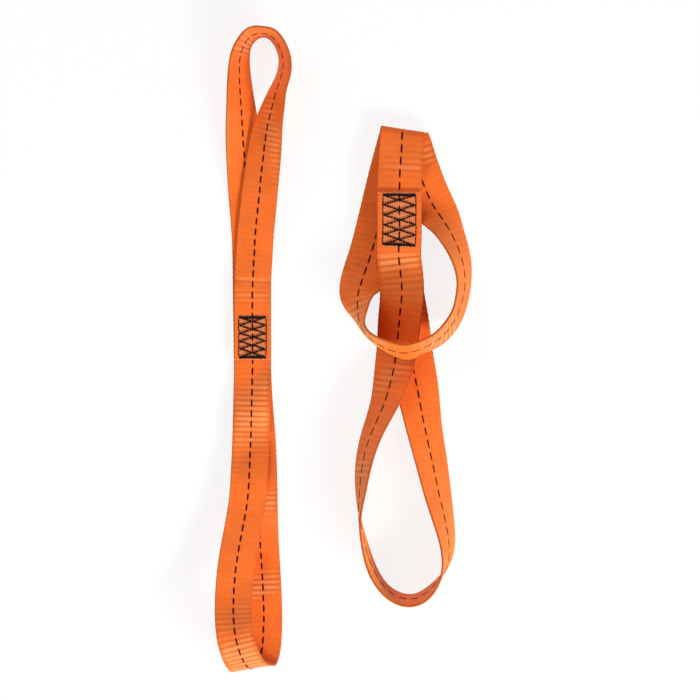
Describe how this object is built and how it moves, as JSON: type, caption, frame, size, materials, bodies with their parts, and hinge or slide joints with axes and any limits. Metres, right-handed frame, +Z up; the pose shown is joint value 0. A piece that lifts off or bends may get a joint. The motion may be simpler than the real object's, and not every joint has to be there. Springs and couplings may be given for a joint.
{
  "type": "round sling",
  "caption": "Pair of endless flat webbing slings, one laid out straight and one choked through its own loop, each closed by a lapped seam with a box of zigzag stitching.",
  "frame": {"origin": "middle of the pair's footprint, on the surface that both slings lie on", "axes": "+Y along both slings, +X from the straight sling to the hitched one, +Z up"},
  "size_m": [0.1726, 0.4364, 0.0462],
  "materials": {
    "orange_webbing": "woven polyester, ribbed, slight sheen",
    "tracer_yarn": "matt black woven yarn",
    "sewing_thread": "matt black bonded thread",
    "melted_edge": "melted and hardened yarn ends"
  },
  "bodies": {
    "straight_middle": {"straight_back_leg": "orange_webbing", "straight_back_leg_tracer": "tracer_yarn", "straight_bar_tack_thread": "sewing_thread", "straight_bobbin_thread": "sewing_thread", "straight_face_ply": "orange_webbing", "straight_face_ply_tracer": "tracer_yarn", "straight_face_seal": "melted_edge", "straight_side_row_thread": "sewing_thread", "straight_under_ply": "orange_webbing", "straight_under_ply_tracer": "tracer_yarn", "straight_under_seal": "melted_edge", "straight_zigzag_thread": "sewing_thread"},
    "straight_far_loop": {"straight_far_eye": "orange_webbing", "straight_far_eye_tracer": "tracer_yarn"},
    "straight_near_loop": {"straight_near_eye": "orange_webbing", "straight_near_eye_tracer": "tracer_yarn"},
    "hitched_middle": {"hitched_bar_tack_thread": "sewing_thread", "hitched_bobbin_thread": "sewing_thread", "hitched_choke_band": "orange_webbing", "hitched_choke_band_tracer": "tracer_yarn", "hitched_face_ply": "orange_webbing", "hitched_face_ply_tracer": "tracer_yarn", "hitched_face_seal": "melted_edge", "hitched_long_leg": "orange_webbing", "hitched_long_leg_tracer": "tracer_yarn", "hitched_lower_eye": "orange_webbing", "hitched_lower_eye_tracer": "tracer_yarn", "hitched_side_row_thread": "sewing_thread", "hitched_under_ply": "orange_webbing", "hitched_under_ply_tracer": "tracer_yarn", "hitched_under_seal": "melted_edge", "hitched_zigzag_thread": "sewing_thread"},
    "hitched_top_loop": {"hitched_inner_bight": "orange_webbing", "hitched_inner_bight_tracer": "tracer_yarn", "hitched_outer_bight": "orange_webbing", "hitched_outer_bight_tracer": "tracer_yarn"}
  },
  "joints": [
    {"name": "straight_far_loop_lift", "type": "hinge", "parent": "straight_middle", "child": "straight_far_loop", "pos_m": [-0.0613, 0.05165, 0.0068], "axis": [1, 0, 0], "range_deg": [0, 90]},
    {"name": "straight_near_loop_lift", "type": "hinge", "parent": "straight_middle", "child": "straight_near_loop", "pos_m": [-0.0613, -0.03635, 0.0048], "axis": [-1, 0, 0], "range_deg": [0, 90]},
    {"name": "hitched_sling_apart", "type": "slide", "parent": "straight_middle", "child": "hitched_middle", "axis": [1, 0, 0], "range_m": [0, 0.15]},
    {"name": "hitched_top_loop_lift", "type": "hinge", "parent": "hitched_middle", "child": "hitched_top_loop", "pos_m": [0.0377, 0.11065, 0.0155], "axis": [1, 0, 0], "range_deg": [0, 90]}
  ]
}
